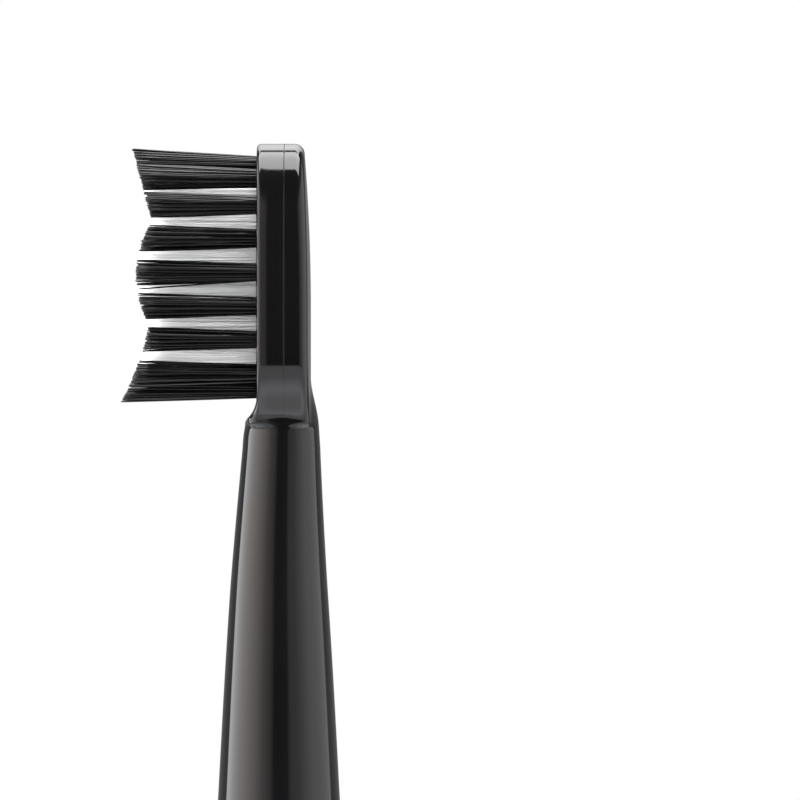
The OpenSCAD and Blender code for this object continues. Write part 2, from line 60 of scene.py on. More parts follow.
def span(node):
    """Lowest and highest corner of a CAD node at rest, in millimetres."""
    low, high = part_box(node)
    return np.array(low) / MM, np.array(high) / MM


def middle_z(node):
    low, high = span(node)
    return (low[2] + high[2]) / 2


# -------- sizes from the frame

head_low, head_high = span("head_body")
plate_low, plate_high = span("bristle_plate")
ring_low, ring_high = span("head_base_ring")
housing_low, housing_high = span("handle_housing")
cap_low, cap_high = span("bottom_cap")
shell_low, shell_high = span("charger_shell")

# sizes that no node's box gives, with the CAD's values
CHARGER_TOP = 17.0  # height of the charger's top face
POST_R = 3.9  # charging post
WELL_R = POST_R + 0.4  # well in the bottom cap that takes the post
FERRITE_HOLE_R = 2.9  # bore of the post
BOSS_AT, FOOT_AT = 21.5, 22.0  # distance of the screws and of the feet from the axis
BUTTON_TRAVEL = 0.3
WALL = 1.8  # of the handle
HOLE_R = 0.85  # tuft hole
PART_Y = 0.5  # plane where the head's back begins
PAIRS = {"outer": 8, "inner": 5}  # tuft pairs in each ring

HEAD_TOP = head_high[2]
SHAFT_R = span("drive_shaft")[1][0]
SEAT_Z = cap_low[2] - 0.1  # dished seat that the handle stands in
FACE_Y = plate_low[1]  # flat face that the bristles stand on
SEAM_Y = (plate_high[1] + PART_Y) / 2  # parting plane between the plate and the back
PLATE_END = HEAD_TOP - plate_low[2]  # s of the plate's lower edge
OVAL_HALF_W = plate_high[0]
NECK_END = HEAD_TOP - head_low[2]  # s of the neck's lower end

# -------- camera

VIEW_SIZE = 71.11  # height of the view at the brush head
VIEW_DROP = 22.76  # middle of the view below the head's top
VIEW_ASIDE = 10.76  # middle of the view behind the shaft's axis
LENS, SENSOR = 400.0, 36.0


def link(obj):
    bpy.context.scene.collection.objects.link(obj)
    return obj


def make_camera():
    """A long lens at the height of the head, looking along -X at the side of the bristles."""
    data = bpy.data.cameras.new("Camera")
    data.lens, data.sensor_width = LENS, SENSOR
    data.clip_start, data.clip_end = 0.05, 20.0
    camera = link(bpy.data.objects.new("Camera", data))
    camera.location = (VIEW_SIZE * LENS / SENSOR * MM, VIEW_ASIDE * MM, (HEAD_TOP - VIEW_DROP) * MM)
    camera.rotation_euler = (math.pi / 2, 0, math.pi / 2)
    bpy.context.scene.camera = camera


# -------- material helpers

NOISE_LOW, NOISE_HIGH = 0.3, 0.7  # part of the noise's range that is spread out


def new_material(name):
    """An empty node tree with a Principled shader, as (material, tree, shader)."""
    material = bpy.data.materials.new(name)
    material.use_nodes = True
    tree = material.node_tree
    tree.nodes.clear()
    output = tree.nodes.new("ShaderNodeOutputMaterial")
    shader = tree.nodes.new("ShaderNodeBsdfPrincipled")
    tree.links.new(shader.outputs["BSDF"], output.inputs["Surface"])
    return material, tree, shader


def set_inputs(node, values):
    """Sets constants on the node's sockets, from {socket name: value}."""
    for name, value in values.items():
        node.inputs[name].default_value = value


def add_noise(tree, scale, detail=3.0, stretch=(1, 1, 1)):
    """Noise over the object's own coordinates, which are metres, as a factor output."""
    coords = tree.nodes.new("ShaderNodeTexCoord")
    mapping = tree.nodes.new("ShaderNodeMapping")
    noise = tree.nodes.new("ShaderNodeTexNoise")
    set_inputs(mapping, {"Scale": stretch})
    set_inputs(noise, {"Scale": scale, "Detail": detail})
    tree.links.new(coords.outputs["Object"], mapping.inputs["Vector"])
    tree.links.new(mapping.outputs["Vector"], noise.inputs["Vector"])
    return noise.outputs["Fac"]


def add_range(tree, value, low, high):
    """Number that goes from low to high as value rises."""
    node = tree.nodes.new("ShaderNodeMapRange")
    set_inputs(node, {"From Min": NOISE_LOW, "From Max": NOISE_HIGH, "To Min": low, "To Max": high})
    tree.links.new(value, node.inputs["Value"])
    return node.outputs["Result"]


def add_blend(tree, value, first, second, from_low=NOISE_LOW, from_high=NOISE_HIGH):
    """Colour that goes from first to second as value rises."""
    ramp = tree.nodes.new("ShaderNodeValToRGB")
    ramp.color_ramp.elements[0].position = from_low
    ramp.color_ramp.elements[0].color = (*first, 1)
    ramp.color_ramp.elements[1].position = from_high
    ramp.color_ramp.elements[1].color = (*second, 1)
    tree.links.new(value, ramp.inputs["Fac"])
    return ramp.outputs["Color"]


def add_bump(tree, shader, value, strength, distance):
    """Relief of a height in metres on the shader's normal."""
    bump = tree.nodes.new("ShaderNodeBump")
    set_inputs(bump, {"Strength": strength, "Distance": distance})
    tree.links.new(value, bump.inputs["Height"])
    tree.links.new(bump.outputs["Normal"], shader.inputs["Normal"])


def plastic(name, dark, light, rough, rough_spread=0.04, grain=900, relief=0.00001, ior=1.5,
            strength=0.2):
    """Moulded plastic: a slight colour drift, uneven gloss and a fine grain."""
    material, tree, shader = new_material(name)
    set_inputs(shader, {"IOR": ior})
    drift = add_noise(tree, 60)
    tree.links.new(add_blend(tree, drift, dark, light), shader.inputs["Base Color"])
    tree.links.new(add_range(tree, drift, rough - rough_spread, rough + rough_spread),
                   shader.inputs["Roughness"])
    add_bump(tree, shader, add_noise(tree, grain, 4), strength, relief)
    return material


def metal(name, dark, light, rough, stretch=(1, 1, 1), scale=2500, relief=0.000004):
    """Metal with a brushed or cast grain, stretched along the axes with low numbers."""
    material, tree, shader = new_material(name)
    set_inputs(shader, {"Metallic": 1.0})
    grain = add_noise(tree, scale, 4, stretch)
    tree.links.new(add_blend(tree, grain, dark, light), shader.inputs["Base Color"])
    tree.links.new(add_range(tree, grain, rough * 0.8, rough * 1.25), shader.inputs["Roughness"])
    add_bump(tree, shader, grain, 0.15, relief)
    return material


def make_materials():
    """Every finish, under the name of its slot in the record."""
    finishes = [
        (plastic, "head_black", (0.0014, 0.0014, 0.0016), (0.0022, 0.0022, 0.0025), 0.085, 0.015,
         350, 0.000006),
        (plastic, "head_plate_black", (0.0014, 0.0014, 0.0016), (0.0022, 0.0022, 0.0025), 0.10,
         0.015, 350, 0.000006),
        (plastic, "bristles_dark", (0.0008, 0.0008, 0.0008), (0.002, 0.002, 0.0019), 0.22, 0.04,
         4000, 0.000004, 1.42),
        (bristle_white, "bristles_light"),
        (metal, "staple_brass", (0.62, 0.44, 0.20), (0.72, 0.53, 0.27), 0.3),
        (metal, "ring_metal", (0.20, 0.20, 0.205), (0.27, 0.27, 0.275), 0.2, (1, 1, 12)),
        (plastic, "acetal_white", (0.72, 0.72, 0.70), (0.80, 0.80, 0.78), 0.4),
        (metal, "spring_steel", (0.50, 0.50, 0.50), (0.62, 0.61, 0.60), 0.28),
        (metal, "shaft_steel", (0.58, 0.58, 0.58), (0.68, 0.67, 0.66), 0.18, (1, 1, 0.1)),
        (metal, "core_steel", (0.28, 0.28, 0.29), (0.38, 0.38, 0.39), 0.4, (1, 1, 30)),
        (metal, "magnet", (0.42, 0.41, 0.40), (0.52, 0.51, 0.50), 0.3),
        (winding, "winding"),
        (plastic, "ferrite", (0.020, 0.019, 0.019), (0.035, 0.034, 0.034), 0.6, 0.06, 2500, 0.00003,
         1.6, 0.5),
        (plastic, "bobbin", (0.62, 0.58, 0.46), (0.70, 0.66, 0.54), 0.45),
        (metal, "bearing_bronze", (0.45, 0.29, 0.14), (0.58, 0.38, 0.20), 0.38),
        (metal, "motor_steel", (0.50, 0.50, 0.50), (0.60, 0.60, 0.60), 0.26, (1, 1, 0.2)),
        (plastic, "handle_black", (0.0025, 0.0025, 0.0027), (0.0040, 0.0040, 0.0043), 0.16, 0.02,
         900, 0.000005, 1.4),
        (plastic, "cap_black", (0.005, 0.005, 0.005), (0.008, 0.008, 0.008), 0.28, 0.03, 2400,
         0.00001, 1.4),
        (metal, "button_metal", (0.165, 0.165, 0.17), (0.19, 0.19, 0.195), 0.27, (1, 1, 14), 5000,
         0.000002),
        (plastic, "silicone_grey", (0.10, 0.10, 0.105), (0.15, 0.15, 0.155), 0.55, 0.05, 1800,
         0.00002, 1.42, 0.4),
        (plastic, "rubber_black", (0.018, 0.018, 0.018), (0.028, 0.028, 0.028), 0.68, 0.06, 1500,
         0.00004, 1.5, 0.6),
        (plastic, "lens_smoke", (0.016, 0.015, 0.015), (0.022, 0.021, 0.021), 0.06, 0.015, 300,
         0.000003, 1.55),
        (plastic, "cell_wrap", (0.04, 0.12, 0.30), (0.06, 0.16, 0.36), 0.3),
        (metal, "nickel_strip", (0.55, 0.53, 0.49), (0.66, 0.64, 0.60), 0.3),
        (plastic, "circuit_board", (0.010, 0.075, 0.030), (0.018, 0.105, 0.045), 0.35, 0.05, 1200,
         0.00003, 1.5, 0.5),
        (plastic, "chips", (0.015, 0.015, 0.016), (0.024, 0.024, 0.025), 0.5, 0.05, 2500, 0.00002),
        (plastic, "led", (0.78, 0.77, 0.72), (0.86, 0.85, 0.80), 0.3),
        (plastic, "foam", (0.09, 0.09, 0.095), (0.15, 0.15, 0.155), 0.9, 0.05, 1500, 0.0001, 1.4,
         0.8),
        (plastic, "charger_black", (0.0045, 0.0045, 0.0046), (0.0075, 0.0074, 0.0074), 0.24, 0.03,
         2600, 0.00001, 1.4),
        (metal, "screw_steel", (0.26, 0.26, 0.265), (0.33, 0.33, 0.335), 0.32),
        (metal, "inlet_metal", (0.60, 0.60, 0.60), (0.70, 0.70, 0.70), 0.25, (1, 0.2, 1)),
    ]
    return {name: maker(name, *values) for maker, name, *values in finishes}


def bristle_white(name):
    """Translucent white filament, with a slight drift in its white."""
    material, tree, shader = new_material(name)
    set_inputs(shader, {"Roughness": 0.32, "Subsurface Weight": 0.6, "Subsurface Scale": 1.0,
                        "Subsurface Radius": (0.0015, 0.0015, 0.0014)})
    drift = add_noise(tree, 700, 2)
    tree.links.new(add_blend(tree, drift, (0.90, 0.90, 0.895), (0.97, 0.97, 0.965)),
                   shader.inputs["Base Color"])
    add_bump(tree, shader, add_noise(tree, 5000, 2), 0.1, 0.000004)
    return material


def winding(name):
    """Enamelled copper wire, laid in turns about the Z axis."""
    material, tree, shader = new_material(name)
    set_inputs(shader, {"Metallic": 1.0, "Roughness": 0.28})
    coords = tree.nodes.new("ShaderNodeTexCoord")
    wave = tree.nodes.new("ShaderNodeTexWave")
    wave.bands_direction = "Z"
    set_inputs(wave, {"Scale": 1400, "Distortion": 0.4})
    tree.links.new(coords.outputs["Object"], wave.inputs["Vector"])
    tree.links.new(add_blend(tree, wave.outputs["Fac"], (0.30, 0.10, 0.03), (0.72, 0.32, 0.13)),
                   shader.inputs["Base Color"])
    add_bump(tree, shader, wave.outputs["Fac"], 0.6, 0.00006)
    return material


# -------- mesh helpers

MERGE = 0.0005  # points this close are one


def finish_piece(obj, body, slot, replaced, sharp=30):
    mesh = obj.data
    mesh.polygons.foreach_set("use_smooth", [True] * len(mesh.polygons))
    mesh.set_sharp_from_angle(angle=math.radians(sharp))
    mesh.materials.clear()
    mesh.materials.append(materials[slot])
    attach(obj, body)
    if replaced:
        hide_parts(*replaced)


def object_from(name, verts, faces):
    """A mesh object from points in millimetres."""
    mesh = bpy.data.meshes.new(name)
    mesh.from_pydata([tuple(v) for v in np.asarray(verts) * MM], [], faces)
    mesh.update()
    return link(bpy.data.objects.new(name, mesh))


def clean(obj):
    """Joins points that are closer than MERGE, and turns the faces outwards."""
    bm = bmesh.new()
    bm.from_mesh(obj.data)
    bmesh.ops.remove_doubles(bm, verts=bm.verts, dist=MERGE * MM)
    bmesh.ops.dissolve_degenerate(bm, edges=bm.edges, dist=MERGE * MM * 0.1)
    bmesh.ops.recalc_face_normals(bm, faces=bm.faces)
    bm.to_mesh(obj.data)
    bm.free()
    return obj


def circle(count):
    """(cosine, sine) of count even steps round a circle."""
    angles = [2 * math.pi * i / count for i in range(count)]
    return [(math.cos(a), math.sin(a)) for a in angles]


def ring_faces(rings, count):
    """Quads between closed rings of count points each."""
    faces = []
    for r in range(rings - 1):
        for j in range(count):
            k = (j + 1) % count
            faces.append((r * count + j, r * count + k, (r + 1) * count + k, (r + 1) * count + j))
    return faces


def revolve(name, profile, steps=192):
    """A solid of revolution about Z from a closed outline of (radius, height) points.

    Points on the axis become one point each, and the outline runs on to its first point
    unless both its ends are on the axis."""
    on_axis = [abs(r) < 1e-6 for r, _ in profile]
    verts, index = [], []
    for (r, z), axis in zip(profile, on_axis):
        if axis:
            index.append([len(verts)] * steps)
            verts.append((0, 0, z))
        else:
            index.append(list(range(len(verts), len(verts) + steps)))
            verts += [(r * c, r * d, z) for c, d in circle(steps)]
    faces = []
    last = len(profile) - 1 if on_axis[0] and on_axis[-1] else len(profile)
    for p in range(last):
        a, b = index[p], index[(p + 1) % len(profile)]
        for i in range(steps):
            j = (i + 1) % steps
            corner = [a[i], a[j], b[j], b[i]]
            face = tuple(dict.fromkeys(corner))
            if len(face) > 2:
                faces.append(face)
    return clean(object_from(name, verts, faces))


def arc(cx, cz, radius, start, end, steps):
    """Points of an arc in the (radius, height) plane, angles in degrees."""
    angles = np.radians(np.linspace(start, end, steps + 1))
    return [(cx + radius * math.cos(a), cz + radius * math.sin(a)) for a in angles]


def cylinder_mesh(verts, faces, base, axis, radii, heights, steps):
    """Adds a stepped cylinder along axis to verts and faces, one radius for each height."""
    axis = np.array(axis, float)
    side = np.cross(axis, (0.0, 0.0, 1.0)) if abs(axis[2]) < 0.9 else np.array((1.0, 0.0, 0.0))
    side /= np.linalg.norm(side)
    other = np.cross(axis, side)
    first = len(verts)
    for radius, height in zip(radii, heights):
        verts += [np.array(base) + axis * height + radius * (c * side + d * other)
                  for c, d in circle(steps)]
    faces += [tuple(first + i for i in f) for f in ring_faces(len(radii), steps)]
    faces.append(tuple(range(first, first + steps))[::-1])
    faces.append(tuple(range(first + (len(radii) - 1) * steps, first + len(radii) * steps)))


def cut(obj, verts, faces):
    """Takes the closed shape of verts and faces, in millimetres, away from obj."""
    cutter = clean(object_from("cutter", verts, faces))
    modifier = obj.modifiers.new("cut", "BOOLEAN")
    modifier.operation = "DIFFERENCE"
    modifier.solver = "EXACT"
    modifier.object = cutter
    graph = bpy.context.evaluated_depsgraph_get()
    mesh = bpy.data.meshes.new_from_object(obj.evaluated_get(graph))
    obj.modifiers.clear()
    old = obj.data
    obj.data = mesh
    bpy.data.meshes.remove(old)
    bpy.data.objects.remove(cutter)


def drill(obj, base, axis, radii, heights, steps):
    """Takes one stepped cylinder away from obj."""
    verts, faces = [], []
    cylinder_mesh(verts, faces, base, axis, radii, heights, steps)
    cut(obj, verts, faces)


def placed(turn, distance):
    """(x, y) at that distance from the axis, turned by degrees from +X."""
    a = math.radians(turn)
    return distance * math.cos(a), distance * math.sin(a)


def smooth(t):
    """0 to 1 with a level start and end."""
    return t * t * (3 - 2 * t)


# -------- skin of the brush head

WIDEST = 14.6  # s where the oval end is widest
OVAL_POWER = 2.5  # roundness of the oval end's top
BACK_OUT = 2.84  # furthest back of the oval end from the axis
BACK_CURVE = 0.62  # how far the back comes forward at the top
CROWN = 0.3  # how far the back comes forward at the sides
FRONT_EDGE, BACK_EDGE = 0.4, 0.8  # radii of the oval end's two long edges
FLANK_Y, FLANK_KNEE = 0.95, 0.2  # depth of the tilted band behind the face, and half its soft edge
FLANK_ANGLE = 9.0  # tilt of that band in degrees
FLANK_TOP, FLANK_RUN = 1.5, 4  # s where the tilt begins, and its run to the full angle
LOWER_LEN, LOWER_POWER = 10.2, 4.7  # run and power of the sides' way down into the neck
SLAB_END, SLAB_EDGE = 25.05, 0.4  # s and radius of the step under the oval end's corners
NECK_TOP, NECK_R, NECK_SLOPE = 26.8, 3.5, 0.0632
NECK_WIDE, NECK_FLAT = 1.03, 0.985  # the neck is slightly oval
NECK_SHIFT = 0.22  # how far the neck's top sits behind the axis
SHIFT_END, SHIFT_RUN = 40, 13  # s where the neck is back on the axis, and the run to it
SWELL, SWELL_RUN = 0.11, 35  # bulge of the neck below its top, and its length
THIN, THIN_FROM = 0.05, 25.2  # the neck thins with the square of the way above this s
SHOULDER, SHOULDER_FROM, SHOULDER_RUN = 0.025, 26.5, 3.5  # and its front alone recedes above this
LEAST_R = 0.1  # the neck ends in a thin rod inside the oval end
RUN_OUT, RUN_OUT_R = 22.55, 2.5  # s and radius of the face's curve forward into the neck
RUN_OUT_EDGE = 0.12  # radius of that curve's edge on the neck
FACE_RISE = 0.8  # the oval end's own face comes forward no further than this
EDGE_GROWTH, EDGE_RUN = 0.5, 2.5  # growth of the front edge's radius below RUN_OUT, and its run
SINK, SINK_RUN = 0.6, 1.5  # the neck's front lies this far behind the face above RUN_OUT
LOW_SINK, LOW_SINK_END, LOW_SINK_RUN = 0.2, 24.8, 0.6  # and this much further, down to here
BLEND = 0.55  # fillet between the oval end and the neck
RAY_REACH, HALVINGS = 12.0, 26  # length of a ray, and how often its bracket is halved


def round_and(a, b, radius):
    """Distance to where both a and b are inside, with an outer edge of that radius."""
    inner = np.minimum(np.maximum(a, b), -radius)
    return inner + np.hypot(np.maximum(a + radius, 0), np.maximum(b + radius, 0))


def smooth_or(a, b, k):
    """Distance to where a or b is inside, with a fillet of about k between them."""
    h = np.maximum(k - np.abs(a - b), 0) / k
    return np.minimum(a, b) - h * h * k / 4


def neck_r(s):
    """Radius of the neck's cone."""
    return NECK_R + NECK_SLOPE * (s - NECK_TOP)


def oval_distance(x, s):
    """Distance from the oval end's outline, seen from the bristles' side."""
    u = np.abs(x) / OVAL_HALF_W + 1e-6
    v = np.maximum(WIDEST - s, 0) / WIDEST + 1e-6
    n = (u ** OVAL_POWER + v ** OVAL_POWER) ** (1 / OVAL_POWER)
    slope = n ** (1 - OVAL_POWER) * np.hypot(u ** (OVAL_POWER - 1) / OVAL_HALF_W,
                                             v ** (OVAL_POWER - 1) / WIDEST)
    t = np.clip((s - WIDEST) / LOWER_LEN, 0, 1)
    least = 1.02 * neck_r(s)
    half_w = least + (OVAL_HALF_W - least) * (1 - t ** LOWER_POWER) ** 2
    steep = ((OVAL_HALF_W - least) * 2 * (1 - t ** LOWER_POWER)
             * LOWER_POWER * t ** (LOWER_POWER - 1) / LOWER_LEN)
    return np.where(s < WIDEST, (n - 1) / slope, (np.abs(x) - half_w) / np.hypot(1, steep))


def back_at(x, s):
    """Y of the oval end's back, which is crowned and leans forward towards the top."""
    lean = BACK_CURVE * (1 - np.minimum(1, s / WIDEST)) ** 2
    return BACK_OUT - lean - CROWN * (x / OVAL_HALF_W) ** 2


def neck_distance(x, y, s):
    """Distance from the neck, a slightly oval cone whose top sits a little behind the axis."""
    swell = SWELL * np.sin(math.pi * np.clip((s - NECK_TOP) / SWELL_RUN, 0, 1)) ** 1.5
    shoulder = SHOULDER * np.clip(SHOULDER_FROM - s, 0, SHOULDER_RUN) ** 2
    fade = THIN * np.maximum(0, THIN_FROM - s) ** 2 + shoulder
    radius = neck_r(s) + swell - fade
    shift = NECK_SHIFT * np.clip((SHIFT_END - s) / SHIFT_RUN, 0, 1) ** 1.5 + shoulder
    return np.hypot(x / NECK_WIDE, (y - shift) / NECK_FLAT) - np.maximum(radius, LEAST_R)


def skin(x, y, s):
    """Distance from the brush head's outer surface, negative inside."""
    side = oval_distance(x, s)
    tilt = np.radians(FLANK_ANGLE) * np.clip((s - FLANK_TOP) / FLANK_RUN, 0, 1)
    depth = np.maximum(FACE_Y + FLANK_Y + FLANK_KNEE - y, 0)
    side = side + np.tan(tilt) * np.where(depth < 2 * FLANK_KNEE, depth ** 2 / (4 * FLANK_KNEE),
                                          depth - FLANK_KNEE)
    rise = RUN_OUT_R - np.sqrt(np.maximum(RUN_OUT_R ** 2 - np.maximum(s - RUN_OUT, 0) ** 2, 0))
    front_edge = FRONT_EDGE + EDGE_GROWTH * smooth(np.clip((s - RUN_OUT) / EDGE_RUN, 0, 1))
    front = FACE_Y - np.minimum(rise, FACE_RISE) - y
    slab = round_and(round_and(side, front, front_edge), y - back_at(x, s), BACK_EDGE)
    slab = round_and(slab, s - SLAB_END, SLAB_EDGE)
    sink = (SINK * np.clip((RUN_OUT - s) / SINK_RUN, 0, 1)
            + LOW_SINK * np.clip((LOW_SINK_END - s) / LOW_SINK_RUN, 0, 1))
    run_out = FACE_Y - rise + sink - y
    neck = np.where(s > RUN_OUT + RUN_OUT_R, neck_distance(x, y, s),
                    round_and(neck_distance(x, y, s), run_out, RUN_OUT_EDGE))
    return smooth_or(slab, neck, BLEND)


def corner_angle(centre, s):
    """Angle about centre, from -Y, of the skin's point on the parting plane at level s."""
    x, _ = shoot(np.array([math.pi / 2]), (0.0, SEAM_Y), s, skin)
    return math.atan2(x[0], centre[1] - SEAM_Y)


def ray_angles(count, centre, inside):
    """Angles about centre of count points round the widest outline, denser at its corners."""
    dense = np.linspace(-math.pi, math.pi, 2881)
    x, y = shoot(dense, centre, WIDEST, inside)
    dx, dy = np.diff(x), np.diff(y)
    length = np.hypot(dx, dy)
    turn = np.abs(np.gradient(np.unwrap(np.arctan2(dy, dx))))
    # points go by length, by how much the outline turns, and evenly round the centre
    weight = length / length.sum() + 0.5 * turn / turn.sum() + 0.4 * np.diff(dense) / (2 * math.pi)
    total = np.concatenate([[0], np.cumsum(weight)])
    angles = np.interp(np.arange(count) / count * total[-1], total, dense)
    corner = corner_angle(centre, WIDEST)
    for side in (-corner, corner):
        angles[np.argmin(np.abs(angles - side))] = side
    return angles


def shoot(angles, centre, s, inside):
    """Where rays from centre at those angles leave the shape at level s, by bisection."""
    dx, dy = np.sin(angles), -np.cos(angles)
    low, high = np.zeros_like(angles), np.full_like(angles, RAY_REACH)
    for _ in range(HALVINGS):
        middle = (low + high) / 2
        is_in = inside(centre[0] + dx * middle, centre[1] + dy * middle, s) < 0
        low, high = np.where(is_in, middle, low), np.where(is_in, high, middle)
    return centre[0] + dx * low, centre[1] + dy * low


def loft(name, levels, centre, angles, inside):
    """A closed skin through the outlines of a shape at those levels."""
    verts = []
    widest = corner_angle(centre, WIDEST)
    for s in levels:
        # the rays turn with the level, so that one always meets the parting line
        corner = corner_angle(centre, s)
        turned = np.interp(angles, (-math.pi, -widest, widest, math.pi),
                           (-math.pi, -corner, corner, math.pi))
        x, y = shoot(turned, centre, s, inside)
        verts += list(zip(x, y, np.full_like(x, HEAD_TOP - s)))
    count = len(angles)
    faces = ring_faces(len(levels), count)
    for ring in (0, len(levels) - 1):
        verts.append((centre[0], centre[1], HEAD_TOP - levels[ring]))
        tip = len(verts) - 1
        faces += [(ring * count + j, ring * count + (j + 1) % count, tip) for j in range(count)]
    return clean(object_from(name, verts, faces))


SEAM_EDGE, SEAM_END_EDGE = 0.055, 0.006  # rounding of the seam's edges, and at its lower end
SEAM_CLOSED, SEAM_RUN = 21.0, 1.5  # s from which the rounding is the lower one, and its run
SEAM_GAP = 0.004  # half the gap of the seam


def seam_edge(s):
    """Rounding of the seam's edges, which close up towards the plate's lower end."""
    return SEAM_END_EDGE + (SEAM_EDGE - SEAM_END_EDGE) * np.clip((SEAM_CLOSED - s) / SEAM_RUN, 0, 1)


def plate_shape(x, y, s):
    """The bristle plate: the skin in front of the parting plane, down to the plate's end."""
    front = round_and(skin(x, y, s), y - (SEAM_Y - SEAM_GAP), seam_edge(s))
    return round_and(front, s - (PLATE_END - SEAM_GAP), SEAM_END_EDGE)


def back_shape(x, y, s):
    """The head's back and neck: the skin less the room for the bristle plate."""
    behind = round_and(skin(x, y, s), SEAM_Y + SEAM_GAP - y, seam_edge(s))
    below = round_and(skin(x, y, s), PLATE_END + SEAM_GAP - s, SEAM_END_EDGE)
    return np.where(s < PLATE_END + SEAM_GAP, behind, np.minimum(behind, below))


def oval_levels(fine_from, end):
    """Levels of the oval end: crowded at the top, then even, then fine from fine_from to end."""
    top = 3.5 * np.linspace(0.02, 1, 26) ** 2.5
    return [*top, *np.arange(3.9, fine_from, 0.45), *np.arange(fine_from, end, 0.12)]


def make_bristle_plate():
    """The head's front half, with a flared mouth to each tuft's hole."""
    centre = (0.0, -0.7)
    edge = PLATE_END - SEAM_GAP - SEAM_END_EDGE * (1 - np.sin(np.radians([0, 45, 85])))
    angles = ray_angles(220, centre, plate_shape)
    levels = [*oval_levels(22.2, PLATE_END - 0.05), *edge]
    plate = loft("Bristle_Plate", levels, centre, angles, plate_shape)
    verts, faces = [], []
    for x, z in tuft_feet():
        cylinder_mesh(verts, faces, (x, FACE_Y, z), (0, 1, 0),
                      (HOLE_R + 0.27, HOLE_R + 0.12, HOLE_R, HOLE_R), (-0.15, 0, 0.12, 2.02), 32)
    cut(plate, verts, faces)
    finish_piece(plate, "brush_head", "head_plate_black", ["bristle_plate"])


def make_head_back():
    """The head's back and neck in one, bored from below for the shaft's socket."""
    centre = (0.0, 1.6)
    corner = PLATE_END + SEAM_GAP + SEAM_END_EDGE * (1 - np.cos(np.radians([0, 45, 90])))
    shoulder = np.arange(corner[-1] + 0.06, 28.0, 0.1)
    neck = np.arange(28.2, NECK_END, 0.8)
    levels = [*oval_levels(20.6, PLATE_END), PLATE_END + SEAM_GAP - 1e-4, *corner, *shoulder,
              *neck, NECK_END]
    angles = ray_angles(260, centre, back_shape)
    back = loft("Head_Back", levels, centre, angles, back_shape)
    bore_r, bore_z = ring_high[0] - 1.45, ring_high[2] + 21
    drill(back, (0, 0, 0), (0, 0, 1), (bore_r, bore_r, bore_r - 1.4),
          (head_low[2] - 1, head_low[2], bore_z), 64)
    finish_piece(back, "brush_head", "head_black", ["head_body"])


# -------- bristles

DIP_TOP, DIP_END = 6.75, 16.2  # s of the two low places of the trim
TRIM_LENGTH, TRIM_RISE = 9.25, 0.3  # length at the upper one, and how much longer at the lower
ARCH = 1.2  # height of the arch between them
TOP_RAMP = 0.283  # slope above the upper one
END_RAMP, END_RUN = 2.35, 6.6  # rise below the lower one, and its run
FILAMENTS, FILAMENT_R = 52, 0.085  # number in each tuft, and radius
GOLDEN = math.pi * (3 - math.sqrt(5))
ROOT_DEPTH = 1.0  # of the filaments, behind the face
INNER_SPREAD, OUTER_SPREAD = 1.40, 1.58  # how much wider a tuft is at its tips
LEAN, LEAN_RUN = 0.5, 4.5  # shift of the tips to the top, for feet above this s
SIDE_LEAN = 0.12  # shift of the tips away from the middle
SPIN, SCATTER, UNEVEN, BOW = 0.2, 0.03, 0.05, 0.04  # random turn, tip place, length and bow
STRAY_SHARE, STRAY_TIMES = 0.015, 5.0  # share of stray filaments, and how much further they go


def tuft_nodes():
    """(node name, whether it is an inner one) of each tuft node."""
    names = [("outer_tuft_tip", False), ("inner_tuft_tip", True)]
    for ring, count in PAIRS.items():
        names += [(f"{ring}_tuft_pair_{i + 1}", ring == "inner") for i in range(count)]
    return names


def feet_of(node):
    """(x, z) of the node's one or two tufts, from its box and its tips' radius."""
    low, high = span(node)
    middle, tip_r = (low + high) / 2, (high[2] - low[2]) / 2
    if node.endswith("tip"):
        return [(0.0, middle[2])]
    aside = high[0] - tip_r
    return [(-aside, middle[2]), (aside, middle[2])]


def tuft_feet():
    return [foot for node, _ in tuft_nodes() for foot in feet_of(node)]


def trim_length(s):
    """Length of the bristles that stand at s: an arch in the middle and a ramp at each end."""
    u = (s - DIP_TOP) / (DIP_END - DIP_TOP)
    arch = TRIM_LENGTH + TRIM_RISE * u + ARCH * math.sin(math.pi * min(max(u, 0), 1))
    ramp_top = TOP_RAMP * max(0, DIP_TOP - s)
    ramp_end = END_RAMP * (max(0, s - DIP_END) / END_RUN) ** 1.5 - TRIM_RISE * max(0, u - 1)
    return arch + ramp_top + ramp_end - TRIM_RISE * min(u, 0)


def add_filament(verts, faces, root, tip, bow):
    """One bristle from root to tip, bowed in its middle, a little thinner at its rounded end."""
    first, sides, steps = len(verts), 6, 9
    for i in range(steps):
        along = min(i / (steps - 2), 1.0)
        point = root + (tip - root) * along
        point = point + bow * math.sin(math.pi * along)
        r = FILAMENT_R * (1 - 0.12 * along)
        if i == steps - 2:
            point = point - (tip - root) * 0.006
        if i == steps - 1:
            r = FILAMENT_R * 0.45
        verts += [point + r * np.array((c, 0.0, d)) for c, d in circle(sides)]
    faces += [tuple(first + i for i in f) for f in ring_faces(steps, sides)]
    faces.append(tuple(range(first + (steps - 1) * sides, first + steps * sides)))


